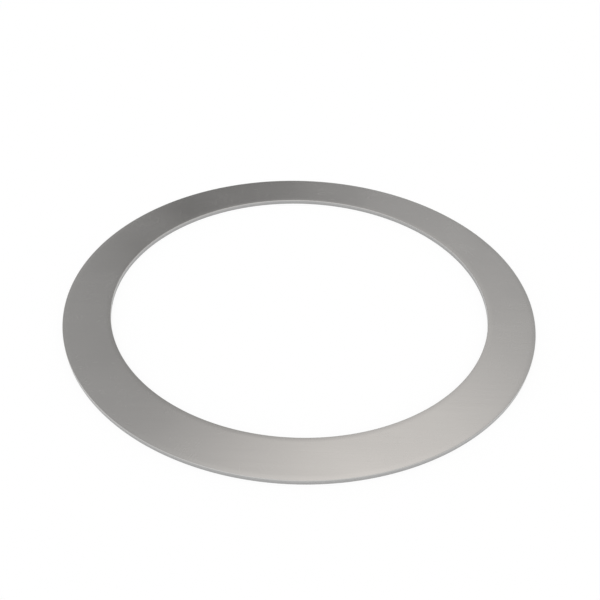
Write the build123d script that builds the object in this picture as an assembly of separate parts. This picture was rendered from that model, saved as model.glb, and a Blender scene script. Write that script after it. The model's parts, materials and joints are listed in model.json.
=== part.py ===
"""Shim ring: a thin flat washer, stamped in one stroke from cold-rolled steel strip.

Frame: +Z is the ring's axis, and the origin is the centre of its lower face, on which it rests.
A compound die shears the bore and the rim together, so both walls have the same section. From the
upper face down it is a rounded die roll, a bright sheared land at the full size, and a broken band
that draws back into the metal, ending in a corner where the burr was tumbled off.
All lengths are in millimetres.
"""

from build123d import *
import os

# Driving dimensions
BORE_DIAMETER = 45.0  # at the sheared land, where a shaft meets it
RING_WIDTH = 5.5  # from the bore to the rim, at the sheared lands, so the rim is 56 across
THICKNESS = 0.6  # of the strip
DIE_ROLL_RADIUS = 0.06  # rounding of both edges of the upper face
LAND_DEPTH = 0.28  # from the upper face to the lower end of the sheared land
BREAK_DRAW = 0.03  # how far the broken band has drawn back where it meets the lower face
BURR_BREAK_RADIUS = 0.05  # rounding of both edges of the lower face

bore_radius = BORE_DIAMETER / 2
rim_radius = bore_radius + RING_WIDTH
land_end = THICKNESS - LAND_DEPTH


def stamped_section():
    """The ring's section in the XZ plane, with the axis at X = 0 and the lower face at Z = 0."""
    with BuildSketch(Plane.XZ) as section:
        with BuildLine():
            Polyline(
                (bore_radius, THICKNESS),
                (rim_radius, THICKNESS),
                (rim_radius, land_end),
                (rim_radius - BREAK_DRAW, 0),
                (bore_radius + BREAK_DRAW, 0),
                (bore_radius, land_end),
                close=True,
            )
        make_face()
        # Within the sketch the height runs along its own Y.
        fillet(section.vertices().group_by(Axis.Y)[-1], DIE_ROLL_RADIUS)
        fillet(section.vertices().group_by(Axis.Y)[0], BURR_BREAK_RADIUS)
    return section.sketch


def shim_ring():
    """The one solid: the stamped section turned about the axis."""
    ring = revolve(stamped_section(), axis=Axis.Z)
    ring.label = "shim_ring"
    return ring


os.makedirs("parts", exist_ok=True)
export_step(shim_ring(), "parts/shim_ring.step")
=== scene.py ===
"""Shim ring: a thin ring stamped from cold-rolled steel strip, and the stage that it lies on.

Lengths are in metres, in the frame of the solid: +Z is the ring's axis, and Z = 0 its lower face.
The file is laid out as an add-on, and is run as a script.
"""

import json
import math

import bpy
import numpy as np
from bpy.props import FloatProperty, FloatVectorProperty, IntProperty, PointerProperty
from mathutils import Matrix, Vector


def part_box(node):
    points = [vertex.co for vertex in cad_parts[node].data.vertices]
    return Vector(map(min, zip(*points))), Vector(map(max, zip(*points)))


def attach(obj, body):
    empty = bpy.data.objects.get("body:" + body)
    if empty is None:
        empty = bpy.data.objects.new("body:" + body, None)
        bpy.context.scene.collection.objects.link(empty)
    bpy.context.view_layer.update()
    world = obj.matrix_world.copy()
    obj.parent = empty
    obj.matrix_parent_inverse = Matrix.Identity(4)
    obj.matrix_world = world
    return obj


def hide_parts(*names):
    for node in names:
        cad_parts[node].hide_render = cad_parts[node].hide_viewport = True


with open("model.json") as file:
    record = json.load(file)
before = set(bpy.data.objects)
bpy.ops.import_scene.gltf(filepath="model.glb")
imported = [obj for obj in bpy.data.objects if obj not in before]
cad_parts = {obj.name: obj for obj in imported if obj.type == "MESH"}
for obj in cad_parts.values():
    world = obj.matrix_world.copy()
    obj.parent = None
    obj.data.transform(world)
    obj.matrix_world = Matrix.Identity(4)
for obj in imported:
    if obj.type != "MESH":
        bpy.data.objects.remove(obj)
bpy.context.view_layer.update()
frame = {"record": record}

bl_info = {
    "name": "Shim Ring",
    "version": (1, 0, 0),
    "blender": (4, 5, 0),
    "location": "View3D > Sidebar > Shim Ring",
    "description": "Makes a stamped steel shim ring and the stage that shows it",
    "category": "Add Mesh",
}

SOLID_NODE = "shim_ring"
MM = 0.001
MICRON = 0.000001
WHITE = (1.0, 1.0, 1.0, 1.0)


def mount_radius(name):
    """The radius in metres that the record gives a round mount."""
    found = [mount for mount in frame["record"]["mounts"] if mount["name"] == name]
    return found[0]["dims"]["r_mm"] * MM


BORE_RADIUS = mount_radius("bore")
RIM_RADIUS = mount_radius("rim")
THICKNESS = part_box(SOLID_NODE)[1][2]

# How finely the section is divided.
ROLL_STEPS = 8
LAND_POINTS = 5
CORNER_STEPS = 6
LOWER_FACE_STEPS = 5
UPPER_FACE_STEPS = 9
# Places down the broken band as shares of its height, closer together where it leaves the land.
BAND_SHARES = (0.0, 0.03, 0.35, 0.7, 1.0)
# Whole waves round the ring that the land's lower end follows: count, share and shift.
WANDER_WAVES = ((3, 0.45, 0.4), (7, 0.3, 2.1), (16, 0.2, 4.4), (41, 0.15, 1.3), (97, 0.1, 5.2))

# How far each surface's colour strays either way, as a share of itself.
FACE_TONE = 0.03
LAND_TONE = 0.08
BAND_TONE = 0.2
# Roughness from the smoothest to the roughest places, and what a scratch or a pit adds to it.
FACE_ROUGHNESS = (0.23, 0.27)
LAND_ROUGHNESS = (0.3, 0.4)
BAND_ROUGHNESS = (0.6, 0.8)
MARK_ROUGHNESS = 0.05
# How much lighter a rounded edge is where tumbling rubbed it bright, as a share of its colour.
RUBBED_TONE = 0.1
# The share that the finer of two patterns has where they are added.
FINE_SHARE = 0.6
# The broad rolling lines are as many times as wide as the fine ones.
BROAD_LINES = 9.0
# Directions of the tumbling scratches, in radians, and the slow noise that bends them.
SCRATCH_TURNS = (0.3, 1.3, 2.1, 2.8)
WAVER_SIZE, WAVER_REACH = 3 * MM, 1.2 * MM
# The noise at which scratches, their groups and pits start, and at which they are full.
SCRATCH_NOISE = (0.74, 0.84)
GROUP_NOISE = (0.48, 0.65)
PIT_NOISE = (0.6, 0.75)
# The upright score lines that the punch leaves on the land, and the grains of the broken band.
SCORE_WIDTH, SCORE_LENGTH = 0.04 * MM, 2 * MM
TEAR_SIZE = 0.035 * MM
# Height of the score lines, as a share of the grains' height.
SCORE_SHARE = 0.15

FLOOR_CORNERS = 128
SENSOR_WIDTH = 36.0  # in millimetres
CLIP_NEAR, CLIP_FAR = 0.001, 4.0

# The tent is plain white below the first of these and has its panels above the second. Both are
# sines of an elevation.
WHITE_TOP, PANELS_FOOT = 0.2, 0.34
# The tent's panels: strength, azimuth and elevation of the middle, and the angles from it at which
# the light is gone and full, in degrees. The key is a small bright panel behind the ring. The fills
# are broad and dim, and leave the tent darker at the back on either side of the key.
KEY_PANEL = (0.78, 9, 54, 18, 0)
FILL_PANELS = (
    (0.30, -125, -5, 115, 105),  # left
    (0.30, 120, -15, 130, 115),  # right
    (0.20, 180, 35, 90, 50),  # front
)
# A low panel on the left, which only the walls and low views catch.
SIDE_PANEL = (0.5, -80, 0, 30, 10)


# ---------------------------------------------------------------- sizes, finish and stage

class ShimRingSizes(bpy.types.PropertyGroup):
    """The ring's sizes. Both walls have the same stamped section."""

    bore_radius: FloatProperty(
        name="Bore Radius", description="At the sheared land, where a shaft meets it",
        default=BORE_RADIUS, min=0.001, precision=5, unit="LENGTH")
    rim_radius: FloatProperty(
        name="Rim Radius", description="At the sheared land, where a housing meets it",
        default=RIM_RADIUS, min=0.002, precision=5, unit="LENGTH")
    thickness: FloatProperty(
        name="Thickness", description="Of the strip that the ring is stamped from",
        default=THICKNESS, min=0.0001, precision=5, unit="LENGTH")
    die_roll_radius: FloatProperty(
        name="Die Roll Radius", description="Rounding of both edges of the upper face",
        default=0.06 * MM, min=0.0, precision=6, unit="LENGTH")
    land_depth: FloatProperty(
        name="Land Depth", description="From the upper face to the lower end of the sheared land",
        default=0.28 * MM, min=0.0, precision=6, unit="LENGTH")
    land_wander: FloatProperty(
        name="Land Wander",
        description="How far the land's lower end rises and falls round the ring",
        default=0.025 * MM, min=0.0, precision=6, unit="LENGTH")
    break_draw: FloatProperty(
        name="Break Draw", description="How far the broken band draws back into the metal",
        default=0.03 * MM, min=0.0, precision=6, unit="LENGTH")
    burr_break_radius: FloatProperty(
        name="Burr Break Radius", description="Rounding of both edges of the lower face",
        default=0.05 * MM, min=0.0, precision=6, unit="LENGTH")
    steps_round: IntProperty(
        name="Steps Round", description="Number of faces round the ring", default=960, min=96)


class ShimRingFinish(bpy.types.PropertyGroup):
    """The steel's colours and the depth of the marks that rolling and stamping leave."""

    face_colour: FloatVectorProperty(
        name="Rolled Face", description="Colour of the rolled faces",
        default=(0.565, 0.556, 0.542), min=0.0, max=1.0, size=3, subtype="COLOR")
    # Painted shade: the land's colour is set darker than the rolled face's, partly for the duller
    # sheared steel and partly to stand in for the wall's dimmer reflections.
    land_colour_with_painted_shade: FloatVectorProperty(
        name="Sheared Land", description="Colour of the burnished part of the walls",
        default=(0.42, 0.418, 0.415), min=0.0, max=1.0, size=3, subtype="COLOR")
    # Painted light and shade: the broken band's colour is darker than the rolled face's, partly for
    # the torn steel's duller look and partly as painted shade. It is lighter than the land's as
    # painted light, which makes up for the shadowed floor that the band reflects.
    broken_colour_painted_light_and_shade: FloatVectorProperty(
        name="Broken Band", description="Colour of the torn part of the walls",
        default=(0.455, 0.453, 0.45), min=0.0, max=1.0, size=3, subtype="COLOR")
    grain_depth: FloatProperty(
        name="Grain Depth", description="Height of the rolling lines",
        default=0.35 * MICRON, min=0.0, precision=7, unit="LENGTH")
    scuff_depth: FloatProperty(
        name="Scuff Depth", description="Depth of the fine scratches from tumbling",
        default=0.4 * MICRON, min=0.0, precision=7, unit="LENGTH")
    tear_depth: FloatProperty(
        name="Tear Depth", description="Height of the grains on the broken band",
        default=4 * MICRON, min=0.0, precision=7, unit="LENGTH")


class ShimRingStage(bpy.types.PropertyGroup):
    """The floor, the light and the camera."""

    floor_colour: FloatVectorProperty(
        name="Floor", description="Colour of the floor",
        default=(0.92, 0.92, 0.92), min=0.0, max=1.0, size=3, subtype="COLOR")
    floor_radius: FloatProperty(
        name="Floor Radius", description="Of the round floor",
        default=1.5, min=0.1, unit="LENGTH")
    shadow_depth: FloatProperty(
        name="Shadow Depth", description="How much darker than white the floor's deepest shadow is",
        default=0.14, min=0.0, max=1.0, subtype="FACTOR")
    light_on_floor: FloatProperty(
        name="Light on Floor",
        description="How light the tent makes a white floor, where 1 is white",
        default=0.775, min=0.1)
    tent_wall: FloatProperty(
        name="Tent Wall", description="Brightness of the tent between its panels",
        default=0.18, min=0.0)
    key_colour: FloatVectorProperty(
        name="Key Panel", description="Colour of the tent's brightest panel",
        default=(1.0, 0.955, 0.92), min=0.0, max=1.0, size=3, subtype="COLOR")
    camera_elevation: FloatProperty(
        name="Camera Elevation", description="How steeply the camera looks down",
        default=math.radians(38.33), subtype="ANGLE")
    camera_roll: FloatProperty(
        name="Camera Roll", description="How far the camera leans to its left",
        default=math.radians(1.75), subtype="ANGLE")
    camera_distance: FloatProperty(
        name="Camera Distance", description="From the point that the camera aims at",
        default=0.10222, min=0.01, precision=5, unit="LENGTH")
    camera_aim: FloatProperty(
        name="Camera Aim", description="How far behind the ring's centre the camera aims",
        default=0.00043, precision=5, unit="LENGTH")
    camera_lens: FloatProperty(
        name="Camera Lens", description="Focal length in millimetres",
        default=50.3, min=1.0)


# ---------------------------------------------------------------- the ring's surface

def arc(centre_r, centre_z, radius, start, end, steps):
    """Points of a circular arc: the centre plus the radius turned from start to end, in degrees."""
    turn = np.radians(np.linspace(start, end, steps + 1))
    return np.column_stack((centre_r + radius * np.cos(turn), centre_z + radius * np.sin(turn)))


def wall_section(sizes):
    """One wall's section from the upper face down to the lower, for a wall that faces outwards.

    Each row is (r, z, sway, broken, corner): r is how far the wall stands out from its land, so it
    is 0 on the land and negative elsewhere. It is a quarter circle for the die roll, a straight
    land, a straight slope for the broken band and an arc for the tumbled corner. sway says how much
    a point takes part in the land's wander, 1 where the land ends and 0 at the far ends of land and
    slope. broken is 1 below the land, and corner rises to 1 in the middle of each rounded edge.
    """
    top, roll = sizes.thickness, sizes.die_roll_radius
    land_end = top - sizes.land_depth
    slope = math.atan2(sizes.break_draw, land_end)
    burr = sizes.burr_break_radius
    leg = burr * math.tan((math.pi / 2 - slope) / 2) if burr else 0.0
    reach = 1 - leg / math.hypot(sizes.break_draw, land_end)

    die_roll = arc(-roll, top - roll, roll, 90, 0, ROLL_STEPS)
    land_heights = np.linspace(top - roll, land_end, LAND_POINTS)
    land = np.column_stack((np.zeros(LAND_POINTS), land_heights))
    fall = np.array(BAND_SHARES) * reach
    broken = np.column_stack((-sizes.break_draw * fall, land_end * (1 - fall)))
    foot = -sizes.break_draw - leg
    tumbled = arc(foot, burr, burr, -math.degrees(slope), -90, CORNER_STEPS)

    rows = np.zeros((len(die_roll) + len(land) + len(broken) + len(tumbled) - 3, 5))
    rows[:, :2] = np.vstack((die_roll, land[1:], broken[1:], tumbled[1:]))
    at_land = len(die_roll)
    at_broken = at_land + len(land) - 1
    at_corner = at_broken + len(broken) - 1
    rows[at_land:at_broken, 2] = np.linspace(0, 1, LAND_POINTS)[1:]
    rows[at_broken:at_corner, 2] = 1 - fall[1:] / reach
    rows[at_broken:, 3] = 1
    rows[:at_land, 4] = np.sin(np.linspace(0, np.pi, at_land))
    rows[at_corner - 1:, 4] = np.sin(np.linspace(0, np.pi, len(rows) - at_corner + 1))
    return rows


def ring_section(sizes):
    """The closed section of the ring, and how many of its rows a wall and the lower face have.

    It runs from the rim's upper edge down the rim, in below, up the bore and back out on top.
    The rim wall is wall_section set out at the rim radius. The bore wall is its mirror image at the
    bore radius, walked upwards. Straight rows in between carry the lower and the upper face.
    """
    wall = wall_section(sizes)
    rim = wall.copy()
    rim[:, 0] += sizes.rim_radius
    bore = wall[::-1].copy()
    bore[:, 0] = sizes.bore_radius - bore[:, 0]
    lower = face_rows(rim[-1, 0], bore[0, 0], 0.0, LOWER_FACE_STEPS)
    upper = face_rows(bore[-1, 0], rim[0, 0], sizes.thickness, UPPER_FACE_STEPS)
    return np.vstack((rim, lower, bore, upper)), len(wall), len(lower)


def face_rows(start, end, height, steps):
    """Section rows of a flat face: evenly spaced radii between two ends, which are left out."""
    rows = np.zeros((steps - 1, 5))
    rows[:, 0] = np.linspace(start, end, steps + 1)[1:-1]
    rows[:, 1] = height
    return rows


def land_wander(turn):
    """A slow rise and fall round the ring, between about -1 and 1: a sum of whole waves."""
    return sum(share * np.sin(count * turn + shift) for count, share, shift in WANDER_WAVES)


def carried_round(section, sizes):
    """The section carried round the axis: x = r cos a, y = r sin a, z = z + sway x wander(a).

    Returns the points as one array, a ring of section points for each step of the angle a.
    """
    turn = np.linspace(0, 2 * np.pi, sizes.steps_round, endpoint=False)[:, None]
    radius, height, sway = section[None, :, 0], section[None, :, 1], section[None, :, 2]
    points = np.empty((sizes.steps_round, len(section), 3))
    points[..., 0] = radius * np.cos(turn)
    points[..., 1] = radius * np.sin(turn)
    points[..., 2] = height + sway * sizes.land_wander * land_wander(turn)
    return points.reshape(-1, 3)


def closed_quads(steps_round, steps_section):
    """Quads of a grid that closes on itself both ways, with their corners turning outwards."""
    here = np.arange(steps_round)[:, None] * steps_section + np.arange(steps_section)[None, :]
    on_round = np.roll(here, -1, axis=0)
    quads = np.stack(
        (here, np.roll(here, -1, axis=1), np.roll(on_round, -1, axis=1), on_round), axis=-1)
    return quads.reshape(-1, 4)


def mesh_from_quads(name, points, quads):
    """A smooth-shaded mesh from whole arrays of points and quads."""
    mesh = bpy.data.meshes.new(name)
    mesh.vertices.add(len(points))
    mesh.vertices.foreach_set("co", points.astype(np.float32).ravel())
    mesh.loops.add(quads.size)
    mesh.loops.foreach_set("vertex_index", quads.astype(np.int32).ravel())
    mesh.polygons.add(len(quads))
    mesh.polygons.foreach_set("loop_start", np.arange(0, quads.size, 4, dtype=np.int32))
    mesh.update(calc_edges=True)
    mesh.validate()
    mesh.shade_smooth()
    return mesh


def point_value(mesh, name, values):
    """Stores one number for each point of the mesh, for a material to read by name."""
    layer = mesh.attributes.new(name, "FLOAT", "POINT")
    layer.data.foreach_set("value", values.astype(np.float32).ravel())


def make_ring_mesh(sizes):
    """The ring as a closed surface, with its walls marked off from its faces."""
    section, wall_rows, lower_rows = ring_section(sizes)
    points = carried_round(section, sizes)
    quads = closed_quads(sizes.steps_round, len(section))
    mesh = mesh_from_quads("shim_ring_surface", points, quads)
    point_value(mesh, "broken", np.tile(section[:, 3], sizes.steps_round))
    point_value(mesh, "corner", np.tile(section[:, 4], sizes.steps_round))
    # The die rolls take the faces' material, and the rest of each wall its own.
    is_wall = np.zeros(len(section), dtype=np.int32)
    is_wall[ROLL_STEPS:wall_rows - 1] = 1
    bore_start = wall_rows + lower_rows
    is_wall[bore_start:bore_start + wall_rows - 1 - ROLL_STEPS] = 1
    mesh.polygons.foreach_set("material_index", np.tile(is_wall, sizes.steps_round))
    return mesh


# ---------------------------------------------------------------- the steel

def set_inputs(node, values):
    """Sets a node's inputs by name or number: a socket is linked, and the rest are plain values."""
    for key, value in values.items():
        if isinstance(value, bpy.types.NodeSocket):
            node.id_data.links.new(value, node.inputs[key])
        else:
            node.inputs[key].default_value = value
    return node


def maths(tree, operation, first, second=0.0, third=0.0):
    """The result of a Math node on sockets or plain numbers."""
    node = tree.nodes.new("ShaderNodeMath")
    node.operation = operation
    return set_inputs(node, {0: first, 1: second, 2: third}).outputs[0]


def spread(tree, value, low, high, to_low, to_high):
    """A value between low and high brought to the range from to_low to to_high, and held there."""
    node = tree.nodes.new("ShaderNodeMapRange")
    inputs = {"Value": value, "From Min": low, "From Max": high,
              "To Min": to_low, "To Max": to_high}
    return set_inputs(node, inputs).outputs["Result"]


def ramp(tree, value, low, high):
    """A value brought to 0 at low and 1 at high, and held there."""
    return spread(tree, value, low, high, 0.0, 1.0)


def evened(tree, value):
    """Noise spread out to run from 0 to 1."""
    return ramp(tree, value, 0.3, 0.7)


def weighed(tree, fine, broad):
    """Two patterns added, the finer one with FINE_SHARE and the broader one with the rest."""
    part = maths(tree, "MULTIPLY", fine, FINE_SHARE)
    return maths(tree, "ADD", part, maths(tree, "MULTIPLY", broad, 1.0 - FINE_SHARE))


def blend_colours(tree, share, first, second):
    """A colour between the first, at share 0, and the second, at share 1."""
    node = tree.nodes.new("ShaderNodeMix")
    node.data_type = "RGBA"
    sockets = {"Factor_Float": share, "A_Color": first, "B_Color": second}
    by_name = {socket.identifier: index for index, socket in enumerate(node.inputs)}
    set_inputs(node, {by_name[name]: value for name, value in sockets.items()})
    return next(socket for socket in node.outputs if socket.identifier == "Result_Color")


def noise(tree, vector, detail, roughness=0.5):
    """Noise between about 0.25 and 0.75, whose feature size is 1 in the given coordinates."""
    node = tree.nodes.new("ShaderNodeTexNoise")
    inputs = {"Vector": vector, "Scale": 1.0, "Detail": detail, "Roughness": roughness}
    return set_inputs(node, inputs).outputs["Fac"]


def stretched(tree, vector, along, across, turn=0.0):
    """Coordinates turned about Z, in which a feature is as long and as wide as the two values say."""
    turned = tree.nodes.new("ShaderNodeVectorRotate")
    turned.rotation_type = "Z_AXIS"
    set_inputs(turned, {"Vector": vector, "Angle": turn})
    size = tree.nodes.new("ShaderNodeCombineXYZ")
    set_inputs(size, {"X": along, "Y": across, "Z": across})
    ratio = tree.nodes.new("ShaderNodeVectorMath")
    ratio.operation = "DIVIDE"
    return set_inputs(ratio, {0: turned.outputs[0], 1: size.outputs[0]}).outputs[0]


def new_group(name, inputs, outputs):
    """An empty node group, its input sockets and its output node. An input of None is a vector."""
    tree = bpy.data.node_groups.new(name, "ShaderNodeTree")
    for label, value in inputs.items():
        kind = "NodeSocketVector" if value is None else "NodeSocketFloat"
        socket = tree.interface.new_socket(label, in_out="INPUT", socket_type=kind)
        if value is not None:
            socket.default_value = value
    for label in outputs:
        tree.interface.new_socket(label, in_out="OUTPUT", socket_type="NodeSocketFloat")
    return tree, tree.nodes.new("NodeGroupInput").outputs, tree.nodes.new("NodeGroupOutput")


def rolling_grain_group():
    """Straight lines along X, as the mill's rolls leave them on strip, and slow cloudy patches."""
    inputs = {"Vector": None, "Line Length": 12 * MM, "Line Width": 0.09 * MM,
              "Patch Size": 9 * MM}
    tree, given, out = new_group("Rolling Grain", inputs, ("Lines", "Patches"))
    place, length, width = given["Vector"], given["Line Length"], given["Line Width"]
    fine = noise(tree, stretched(tree, place, length, width), 3.0)
    wide = maths(tree, "MULTIPLY", width, BROAD_LINES)
    broad = noise(tree, stretched(tree, place, length, wide), 2.0)
    lines = weighed(tree, fine, broad)
    patch = stretched(tree, place, given["Patch Size"], given["Patch Size"])
    patches = noise(tree, patch, 2.0)
    set_inputs(out, {"Lines": evened(tree, lines), "Patches": evened(tree, patches)})
    return tree


def wavered(tree, vector, size, reach):
    """Coordinates pushed about by slow noise of one size, about a quarter of the reach each way."""
    drift = tree.nodes.new("ShaderNodeTexNoise")
    slow = stretched(tree, vector, size, size)
    set_inputs(drift, {"Vector": slow, "Scale": 1.0, "Detail": 0.0})
    push = tree.nodes.new("ShaderNodeVectorMath")
    push.operation = "MULTIPLY_ADD"
    set_inputs(push, {0: drift.outputs["Color"], 1: (reach, reach, 0.0), 2: vector})
    return push.outputs[0]


def tumbling_group():
    """Fine, gently curved scratches in scattered groups, and small pits, from the barrel."""
    inputs = {"Vector": None, "Scratch Length": 1.8 * MM, "Scratch Width": 0.02 * MM,
              "Group Size": 2.5 * MM, "Pit Size": 0.05 * MM}
    tree, given, out = new_group("Tumbling Marks", inputs, ("Scratches", "Pits"))
    curved = wavered(tree, given["Vector"], WAVER_SIZE, WAVER_REACH)
    scratches = 0.0
    for turn in SCRATCH_TURNS:
        hair = stretched(tree, curved, given["Scratch Length"], given["Scratch Width"], turn)
        ridge = ramp(tree, noise(tree, hair, 0.0), *SCRATCH_NOISE)
        spot = stretched(tree, curved, given["Group Size"], given["Group Size"], turn)
        group = ramp(tree, noise(tree, spot, 1.0), *GROUP_NOISE)
        scratches = maths(tree, "MAXIMUM", maths(tree, "MULTIPLY", ridge, group), scratches)
    grit = stretched(tree, given["Vector"], given["Pit Size"], given["Pit Size"])
    pits = ramp(tree, noise(tree, grit, 1.0), *PIT_NOISE)
    set_inputs(out, {"Scratches": scratches, "Pits": pits})
    return tree


def new_material(name):
    """A new metal material, its one Principled shader and its socket of Object coordinates."""
    material = bpy.data.materials.new(name)
    material.use_nodes = True
    tree = material.node_tree
    tree.nodes.clear()
    shader = tree.nodes.new("ShaderNodeBsdfPrincipled")
    output = tree.nodes.new("ShaderNodeOutputMaterial")
    tree.links.new(shader.outputs[0], output.inputs["Surface"])
    shader.inputs["Metallic"].default_value = 1.0
    return material, shader, tree.nodes.new("ShaderNodeTexCoord").outputs["Object"]


def placed(tree, group, values):
    """A node group placed in a material's tree, with its inputs set, as its outputs."""
    node = tree.nodes.new("ShaderNodeGroup")
    node.node_tree = group
    return set_inputs(node, values).outputs


def bumped(tree, height, distance):
    """The normal of a surface whose height runs from 0 to 1 times the distance."""
    node = tree.nodes.new("ShaderNodeBump")
    return set_inputs(node, {"Strength": 1.0, "Distance": distance, "Height": height}).outputs[0]


def point_socket(tree, name):
    """The socket of a number stored on the mesh by point_value."""
    node = tree.nodes.new("ShaderNodeAttribute")
    node.attribute_name = name
    return node.outputs["Fac"]


def shaded(colour, share):
    """A colour made lighter or darker by a share of itself, as four numbers."""
    return (*(min(1.0, part * (1 + share)) for part in colour), 1.0)


def mottled(tree, pattern, colour, reach):
    """A colour darker by a share of itself where the pattern is 0, and lighter where it is 1."""
    return blend_colours(tree, pattern, shaded(colour, -reach), shaded(colour, reach))


def rolled_face_material(finish, grain, tumbling):
    """Satin rolled strip: rolling lines, cloudy patches and a little wear at the die roll."""
    material, shader, place = new_material("rolled_face")
    tree = material.node_tree
    rolled = placed(tree, grain, {"Vector": place})
    worn = placed(tree, tumbling, {"Vector": place})
    tone = weighed(tree, rolled["Lines"], rolled["Patches"])
    steel = mottled(tree, tone, finish.face_colour, FACE_TONE)
    rubbed = maths(tree, "MULTIPLY", point_socket(tree, "corner"), 0.5)
    base = blend_colours(tree, rubbed, steel, shaded(finish.face_colour, RUBBED_TONE))
    rough = maths(tree, "ADD", spread(tree, rolled["Patches"], 0.0, 1.0, *FACE_ROUGHNESS),
                  maths(tree, "MULTIPLY", worn["Scratches"], MARK_ROUGHNESS))
    scuffs = maths(tree, "MULTIPLY", worn["Scratches"], finish.scuff_depth / finish.grain_depth)
    height = maths(tree, "SUBTRACT", rolled["Lines"], scuffs)
    set_inputs(shader, {"Base Color": base, "Roughness": rough,
                        "Normal": bumped(tree, height, finish.grain_depth)})
    return material


def sheared_wall_material(finish, tumbling):
    """A sheared wall: a burnished land scored by the punch above a dull, torn band."""
    material, shader, place = new_material("sheared_wall")
    tree = material.node_tree
    worn = placed(tree, tumbling, {"Vector": place})
    upright = tree.nodes.new("ShaderNodeVectorMath")
    upright.operation = "DIVIDE"
    set_inputs(upright, {0: place, 1: (SCORE_WIDTH, SCORE_WIDTH, SCORE_LENGTH)})
    scored = evened(tree, noise(tree, upright.outputs[0], 2.0))
    grainy = stretched(tree, place, TEAR_SIZE, TEAR_SIZE)
    torn = evened(tree, noise(tree, grainy, 3.0, 0.65))

    broken = point_socket(tree, "broken")
    # The land's colour carries painted shade, which makes it darker than the rolled face.
    land = mottled(tree, scored, finish.land_colour_with_painted_shade, LAND_TONE)
    # The broken band's colour carries painted shade, and also painted light that lifts it above the
    # land.
    rubble = mottled(tree, torn, finish.broken_colour_painted_light_and_shade, BAND_TONE)
    walls = blend_colours(tree, broken, land, rubble)
    rubbed = maths(tree, "MULTIPLY", point_socket(tree, "corner"), 0.6)
    base = blend_colours(tree, rubbed, walls, shaded(finish.land_colour_with_painted_shade, RUBBED_TONE))

    land_rough = maths(tree, "ADD", spread(tree, scored, 0.0, 1.0, *LAND_ROUGHNESS),
                       maths(tree, "MULTIPLY", worn["Pits"], MARK_ROUGHNESS))
    band_rough = spread(tree, torn, 0.0, 1.0, *BAND_ROUGHNESS)
    mixed = tree.nodes.new("ShaderNodeMix")
    set_inputs(mixed, {0: broken, 2: land_rough, 3: band_rough})
    relief = maths(tree, "MULTIPLY", broken, torn)
    score = maths(tree, "MULTIPLY", maths(tree, "SUBTRACT", 1.0, broken), scored)
    height = maths(tree, "ADD", relief, maths(tree, "MULTIPLY", score, SCORE_SHARE))
    set_inputs(shader, {"Base Color": base, "Roughness": mixed.outputs[0],
                        "Normal": bumped(tree, height, finish.tear_depth)})
    return material


# ---------------------------------------------------------------- floor, light and camera

def floor_material(stage):
    """A matt pale floor that camera, metal and glass see lifted to white, shadows left in."""
    material = bpy.data.materials.new("pale_floor")
    material.use_nodes = True
    tree = material.node_tree
    tree.nodes.clear()
    matt = tree.nodes.new("ShaderNodeBsdfDiffuse")
    matt.inputs["Color"].default_value = (*stage.floor_colour, 1.0)
    white = tree.nodes.new("ShaderNodeEmission")
    set_inputs(white, {"Color": WHITE, "Strength": 1.0 - stage.shadow_depth})
    # Lit by the open tent, a veil this dark adds the shadow depth, so the two come to white there.
    shade = stage.shadow_depth / stage.light_on_floor
    veil = tree.nodes.new("ShaderNodeBsdfDiffuse")
    veil.inputs["Color"].default_value = (shade, shade, shade, 1.0)
    lifted = tree.nodes.new("ShaderNodeAddShader")
    set_inputs(lifted, {0: white.outputs[0], 1: veil.outputs[0]})

    path = tree.nodes.new("ShaderNodeLightPath").outputs
    seen = maths(tree, "MAXIMUM", path["Is Camera Ray"], path["Is Glossy Ray"])
    seen = maths(tree, "MAXIMUM", seen, path["Is Transmission Ray"])
    mixed = tree.nodes.new("ShaderNodeMixShader")
    set_inputs(mixed, {0: seen, 1: matt.outputs[0], 2: lifted.outputs[0]})
    output = tree.nodes.new("ShaderNodeOutputMaterial")
    tree.links.new(mixed.outputs[0], output.inputs["Surface"])
    return material


def make_floor(stage):
    """A flat floor at Z = 0: one face with its corners evenly round at the floor radius."""
    turn = np.linspace(0, 2 * np.pi, FLOOR_CORNERS, endpoint=False)
    edge = stage.floor_radius * np.column_stack((np.cos(turn), np.sin(turn), 0 * turn))
    mesh = bpy.data.meshes.new("floor")
    mesh.from_pydata(edge.tolist(), [], [list(range(len(edge)))])
    mesh.materials.append(floor_material(stage))
    floor = bpy.data.objects.new("floor", mesh)
    bpy.context.collection.objects.link(floor)


def soft_panel_group():
    """A round panel of light. Edge and Full are cosines of the angles where it is gone and full."""
    inputs = {"Direction": None, "Middle": None, "Edge": 0.5, "Full": 0.9, "Strength": 1.0}
    tree, given, out = new_group("Soft Panel", inputs, ("Light",))
    nearness = tree.nodes.new("ShaderNodeVectorMath")
    nearness.operation = "DOT_PRODUCT"
    set_inputs(nearness, {0: given["Direction"], 1: given["Middle"]})
    shape = ramp(tree, nearness.outputs["Value"], given["Edge"], given["Full"])
    shape.node.interpolation_type = "SMOOTHSTEP"
    set_inputs(out, {"Light": maths(tree, "MULTIPLY", shape, given["Strength"])})
    return tree


def towards(azimuth, elevation):
    """The unit vector at an azimuth, from +Y towards +X, and an elevation, both in degrees."""
    across, up = math.radians(azimuth), math.radians(elevation)
    return (math.cos(up) * math.sin(across), math.cos(up) * math.cos(across), math.sin(up))


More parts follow.
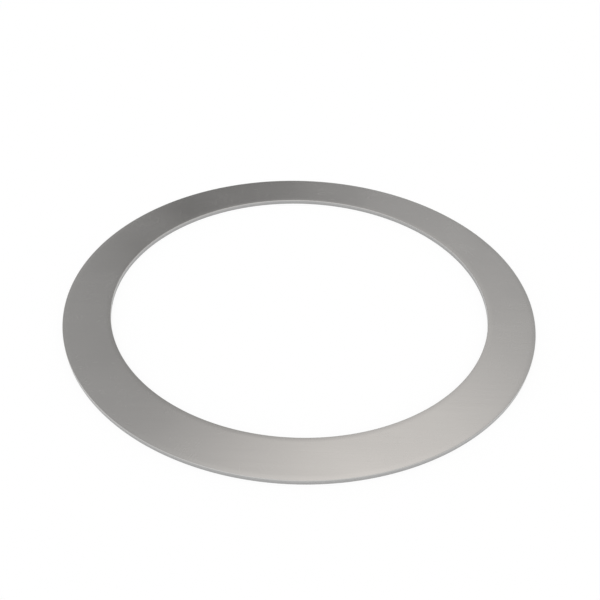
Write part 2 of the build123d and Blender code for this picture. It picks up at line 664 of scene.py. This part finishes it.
def light_tent(stage):
    """A soft tent all round: white below and just above the horizon, then a dim wall with panels.

    The camera sees it as a plain white backdrop.
    """
    world = bpy.data.worlds.new("light_tent")
    bpy.context.scene.world = world
    world.use_nodes = True
    tree = world.node_tree
    tree.nodes.clear()
    way = tree.nodes.new("ShaderNodeTexCoord").outputs["Generated"]
    group = soft_panel_group()

    def panel(strength, azimuth, elevation, edge, full):
        return placed(tree, group, {
            "Direction": way, "Middle": towards(azimuth, elevation), "Strength": strength,
            "Edge": math.cos(math.radians(edge)), "Full": math.cos(math.radians(full)),
        })["Light"]

    key = panel(*KEY_PANEL)
    wall = maths(tree, "ADD", stage.tent_wall, key)
    for values in FILL_PANELS:
        wall = maths(tree, "ADD", wall, panel(*values))
    rise = tree.nodes.new("ShaderNodeSeparateXYZ")
    set_inputs(rise, {0: way})
    above = ramp(tree, rise.outputs["Z"], WHITE_TOP, PANELS_FOOT)
    above.node.interpolation_type = "SMOOTHSTEP"
    blend = tree.nodes.new("ShaderNodeMix")
    set_inputs(blend, {0: above, 2: 1.0, 3: wall})
    sky = tree.nodes.new("ShaderNodeBackground")
    tint = blend_colours(tree, key, WHITE, (*stage.key_colour, 1.0))
    strength = maths(tree, "ADD", blend.outputs[0], panel(*SIDE_PANEL))
    set_inputs(sky, {"Color": tint, "Strength": strength})
    backdrop = tree.nodes.new("ShaderNodeBackground")
    set_inputs(backdrop, {"Color": WHITE, "Strength": 1.0})
    path = tree.nodes.new("ShaderNodeLightPath").outputs
    seen = tree.nodes.new("ShaderNodeMixShader")
    set_inputs(seen, {0: path["Is Camera Ray"], 1: sky.outputs[0], 2: backdrop.outputs[0]})
    output = tree.nodes.new("ShaderNodeOutputWorld")
    tree.links.new(seen.outputs[0], output.inputs["Surface"])


def make_camera(stage):
    """A camera in front of the ring, looking down on it along +Y."""
    data = bpy.data.cameras.new("camera")
    data.lens = stage.camera_lens
    data.sensor_width = SENSOR_WIDTH
    data.clip_start, data.clip_end = CLIP_NEAR, CLIP_FAR
    camera = bpy.data.objects.new("camera", data)
    tilt = stage.camera_elevation
    back = Vector((0.0, -math.cos(tilt), math.sin(tilt)))
    camera.location = Vector((0.0, stage.camera_aim, 0.0)) + back * stage.camera_distance
    facing = (-back).to_track_quat("-Z", "Y").to_matrix()
    camera.rotation_euler = (facing @ Matrix.Rotation(stage.camera_roll, 3, "Z")).to_euler()
    bpy.context.collection.objects.link(camera)
    bpy.context.scene.camera = camera


# ---------------------------------------------------------------- operators and panel

class SHIM_OT_make_ring(bpy.types.Operator):
    """Make the stamped steel ring in place of its plain solid."""

    bl_idname = "shim.make_ring"
    bl_label = "Make Shim Ring"

    def execute(self, context):
        scene = context.scene
        ring = bpy.data.objects.new("stamped_ring", make_ring_mesh(scene.shim_ring_sizes))
        context.collection.objects.link(ring)
        tumbling = tumbling_group()
        finish = scene.shim_ring_finish
        ring.data.materials.append(rolled_face_material(finish, rolling_grain_group(), tumbling))
        ring.data.materials.append(sheared_wall_material(finish, tumbling))
        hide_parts(SOLID_NODE)
        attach(ring, "root")
        return {"FINISHED"}


class SHIM_OT_set_stage(bpy.types.Operator):
    """Lay the floor, set the light and place the camera."""

    bl_idname = "shim.set_stage"
    bl_label = "Set Stage"

    def execute(self, context):
        stage = context.scene.shim_ring_stage
        make_floor(stage)
        light_tent(stage)
        make_camera(stage)
        context.scene.view_settings.view_transform = "Standard"
        return {"FINISHED"}


class VIEW3D_PT_shim_ring(bpy.types.Panel):
    """Lists the ring's sizes, its finish and the stage, with a button for each operator."""

    bl_label = "Shim Ring"
    bl_space_type = "VIEW_3D"
    bl_region_type = "UI"
    bl_category = "Shim Ring"

    def draw(self, context):
        scene = context.scene
        shown = (
            (scene.shim_ring_sizes, None),
            (scene.shim_ring_finish, SHIM_OT_make_ring),
            (scene.shim_ring_stage, SHIM_OT_set_stage),
        )
        for group, operator in shown:
            column = self.layout.column()
            for name in group.__annotations__:
                column.prop(group, name)
            if operator:
                column.operator(operator.bl_idname)


GROUPS = {
    "shim_ring_sizes": ShimRingSizes,
    "shim_ring_finish": ShimRingFinish,
    "shim_ring_stage": ShimRingStage,
}
CLASSES = (*GROUPS.values(), SHIM_OT_make_ring, SHIM_OT_set_stage, VIEW3D_PT_shim_ring)


def register():
    for kind in CLASSES:
        bpy.utils.register_class(kind)
    for name, kind in GROUPS.items():
        setattr(bpy.types.Scene, name, PointerProperty(type=kind))


def unregister():
    for name in GROUPS:
        delattr(bpy.types.Scene, name)
    for kind in reversed(CLASSES):
        bpy.utils.unregister_class(kind)


def main():
    """Registers the classes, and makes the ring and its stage."""
    register()
    bpy.ops.shim.make_ring()
    bpy.ops.shim.set_stage()


if __name__ == "__main__":
    main()
